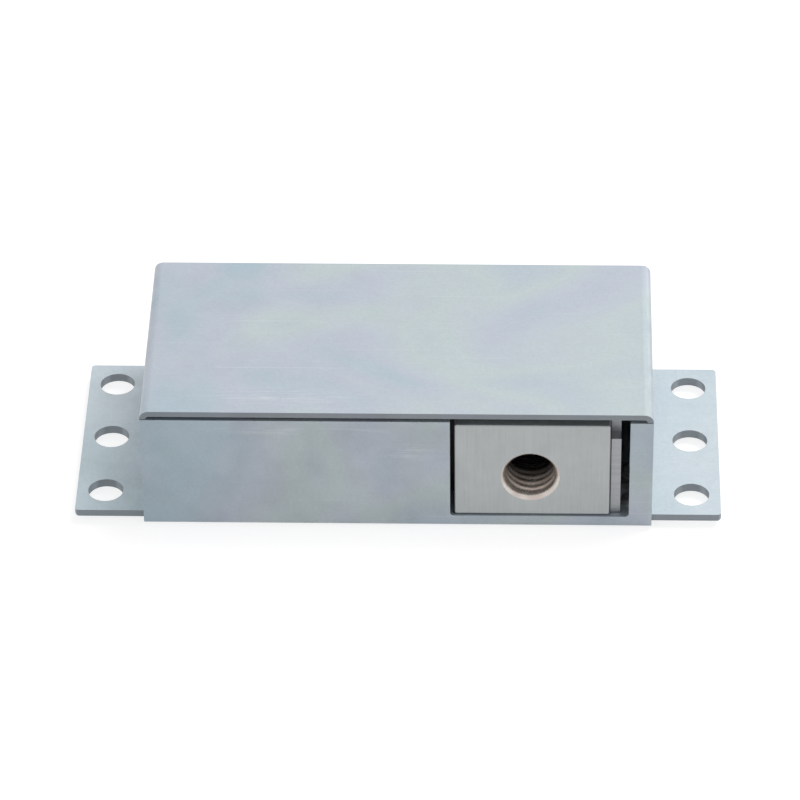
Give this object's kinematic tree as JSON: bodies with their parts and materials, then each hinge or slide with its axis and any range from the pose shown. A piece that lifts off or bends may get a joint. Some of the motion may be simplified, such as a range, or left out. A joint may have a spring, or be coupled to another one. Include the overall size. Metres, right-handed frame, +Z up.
{
  "type": "safe solenoid lock",
  "caption": "Sheet metal solenoid lock case with drilled mounting ears, a square sliding bolt with a tapped end, and a key override under the case.",
  "frame": {"origin": "middle of the underside of the case, where it rests", "axes": "+X along the case towards the bolt's end, the bolt leaves towards -Y, +Z up from the mounting face to the cover"},
  "size_m": [0.1274, 0.05, 0.028],
  "materials": {
    "zinc_sheet": "bright zinc plating, satin",
    "zinc_plate": "bright zinc plating, satin",
    "satin_steel": "satin nickel plating",
    "dark_steel": "plain",
    "rivet_steel": "bright",
    "screw_steel": "zinc plating",
    "spring_steel": "drawn wire",
    "brass": "turned",
    "copper_wire": "enamelled wire",
    "black_plastic": "moulded",
    "board_green": "glass fibre board with green lacquer"
  },
  "bodies": {
    "case": {"case_tray": "zinc_sheet", "mounting_plate": "zinc_plate", "cover": "zinc_sheet", "left_guide": "dark_steel", "right_guide": "dark_steel", "plate_rivets": "rivet_steel", "guide_rivets": "rivet_steel", "bracket_rivets": "rivet_steel", "bolt_stop_pin": "rivet_steel", "carriage_runners": "rivet_steel", "spring_bracket": "zinc_plate", "spring_stud": "rivet_steel", "return_spring": "spring_steel", "key_housing": "brass", "housing_screws": "screw_steel", "circuit_board": "board_green", "board_posts": "rivet_steel", "cable_socket": "black_plastic", "socket_contacts": "brass", "driver_chip": "black_plastic", "cover_screws": "screw_steel"},
    "bolt": {"bolt": "satin_steel"},
    "key_rotor": {"key_barrel": "brass", "crank_disc": "dark_steel", "crank_pin": "rivet_steel", "disc_screw": "screw_steel"},
    "carriage": {"carriage": "zinc_plate", "solenoid_yoke": "zinc_plate", "yoke_screws": "screw_steel", "bobbin": "black_plastic", "coil_winding": "copper_wire", "pole_piece": "rivet_steel"},
    "plunger": {"plunger": "rivet_steel", "locking_pin": "dark_steel", "retaining_clip": "spring_steel", "plunger_spring": "spring_steel"}
  },
  "joints": [
    {"name": "bolt_slide", "type": "slide", "parent": "case", "child": "bolt", "axis": [0, -1, 0], "range_m": [0, 0.01]},
    {"name": "key_turn", "type": "hinge", "parent": "case", "child": "key_rotor", "pos_m": [-0.018, -0.0145, 0.01], "axis": [0, 0, 1], "range_deg": [0, 90]},
    {"name": "carriage_slide", "type": "slide", "parent": "case", "child": "carriage", "axis": [-1, 0, 0], "range_m": [0, 0.00778], "deforming": ["return_spring"]},
    {"name": "plunger_slide", "type": "slide", "parent": "carriage", "child": "plunger", "axis": [1, 0, 0], "range_m": [0, 0.0045], "stiffness_N_per_m": 150, "springref_m": 0.012, "deforming": ["plunger_spring"]}
  ],
  "couplings": [
    {"joint": "key_turn", "follows": "carriage_slide", "rad_per_m": 201.95}
  ]
}
